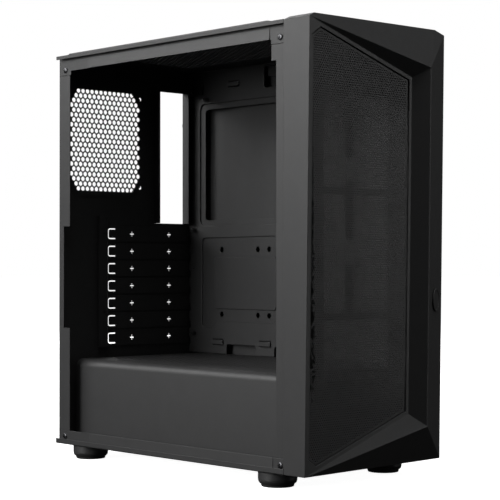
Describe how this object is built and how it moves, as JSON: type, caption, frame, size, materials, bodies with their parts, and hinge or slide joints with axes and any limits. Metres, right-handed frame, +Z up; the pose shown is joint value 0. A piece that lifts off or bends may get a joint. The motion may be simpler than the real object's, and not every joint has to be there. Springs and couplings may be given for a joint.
{
  "type": "desktop computer tower case",
  "caption": "Open-sided black mid-tower computer case with a faceted mesh front, a vented rear wall, a motherboard tray, a supply shroud and round feet.",
  "frame": {"origin": "under the middle of the case's bounding box, on the surface that the feet stand on", "axes": "+Z up, -Y towards the mesh front, -X towards the open side"},
  "size_m": [0.2092, 0.424, 0.4602],
  "materials": {
    "painted_steel": "fine-textured satin black powder coat",
    "satin_plastic": "finely textured black moulded plastic",
    "painted_mesh": "black painted perforated sheet",
    "filter_plastic": "black woven nylon mesh in a plastic frame",
    "zinc": "turned",
    "black_screw": "black oxide",
    "rubber": "matt",
    "connector_steel": "nickel plated",
    "circuit_board": "solder mask"
  },
  "bodies": {
    "chassis": {"bottom_plate": "painted_steel", "rear_panel": "painted_steel", "rear_vent_grille": "painted_steel", "slot_ledge": "painted_steel", "motherboard_tray": "painted_steel", "top_frame": "painted_steel", "top_vent_grille": "painted_steel", "top_cover": "painted_steel", "psu_shroud": "painted_steel", "drive_cage": "painted_steel", "front_frame": "painted_steel", "filter_rail_left": "painted_steel", "filter_rail_right": "painted_steel", "slot_cover_1": "painted_steel", "slot_cover_2": "painted_steel", "slot_cover_3": "painted_steel", "slot_cover_4": "painted_steel", "slot_cover_5": "painted_steel", "slot_cover_6": "painted_steel", "slot_cover_7": "painted_steel", "standoff_1": "zinc", "standoff_2": "zinc", "standoff_3": "zinc", "standoff_4": "zinc", "standoff_5": "zinc", "standoff_6": "zinc", "standoff_7": "zinc", "standoff_8": "zinc", "standoff_9": "zinc", "io_strip": "satin_plastic", "audio_jack": "satin_plastic", "foot_front_left": "satin_plastic", "foot_front_right": "satin_plastic", "foot_rear_left": "satin_plastic", "foot_rear_right": "satin_plastic", "foot_pad_front_left": "rubber", "foot_pad_front_right": "rubber", "foot_pad_rear_left": "rubber", "foot_pad_rear_right": "rubber", "corner_screw_rear_top": "black_screw", "corner_screw_rear_low": "black_screw", "corner_screw_front_top": "black_screw", "corner_screw_front_low": "black_screw", "usb_port_1": "connector_steel", "usb_port_2": "connector_steel", "io_board": "circuit_board"},
    "front_panel": {"front_panel": "satin_plastic", "front_mesh": "painted_mesh", "badge": "satin_plastic"},
    "side_panel": {"right_side_panel": "painted_steel"},
    "screw_lower": {"thumbscrew_lower": "black_screw"},
    "screw_upper": {"thumbscrew_upper": "black_screw"},
    "roof_filter": {"top_filter": "filter_plastic"},
    "base_filter": {"psu_filter": "filter_plastic"},
    "power_button": {"power_button": "satin_plastic"},
    "reset_button": {"reset_button": "satin_plastic"},
    "tray_low": {"drive_tray_1": "satin_plastic"},
    "tray_high": {"drive_tray_2": "satin_plastic"}
  },
  "joints": [
    {"name": "front_panel_pull", "type": "slide", "parent": "chassis", "child": "front_panel", "axis": [0, -1, 0], "range_m": [0, 0.03]},
    {"name": "side_panel_slide", "type": "slide", "parent": "chassis", "child": "side_panel", "axis": [0, 1, 0], "range_m": [0, 0.02]},
    {"name": "thumbscrew_lower_turn", "type": "hinge", "parent": "side_panel", "child": "screw_lower", "pos_m": [0.0967, 0.205, 0.0807], "axis": [0, 1, 0], "continuous": true},
    {"name": "thumbscrew_upper_turn", "type": "hinge", "parent": "side_panel", "child": "screw_upper", "pos_m": [0.0967, 0.205, 0.3874], "axis": [0, 1, 0], "continuous": true},
    {"name": "top_filter_lift", "type": "slide", "parent": "chassis", "child": "roof_filter", "axis": [0, 0, 1], "range_m": [0, 0.03]},
    {"name": "psu_filter_slide", "type": "slide", "parent": "chassis", "child": "base_filter", "axis": [0, 1, 0], "range_m": [0, 0.16]},
    {"name": "power_button_press", "type": "slide", "parent": "chassis", "child": "power_button", "axis": [0, 0, -1], "range_m": [0, 0.001], "stiffness_N_per_m": 600, "springref_m": -0.0006},
    {"name": "reset_button_press", "type": "slide", "parent": "chassis", "child": "reset_button", "axis": [0, 0, -1], "range_m": [0, 0.001], "stiffness_N_per_m": 400, "springref_m": -0.0006},
    {"name": "drive_tray_low_slide", "type": "slide", "parent": "chassis", "child": "tray_low", "axis": [1, 0, 0], "range_m": [0, 0.005]},
    {"name": "drive_tray_high_slide", "type": "slide", "parent": "chassis", "child": "tray_high", "axis": [1, 0, 0], "range_m": [0, 0.005]}
  ]
}
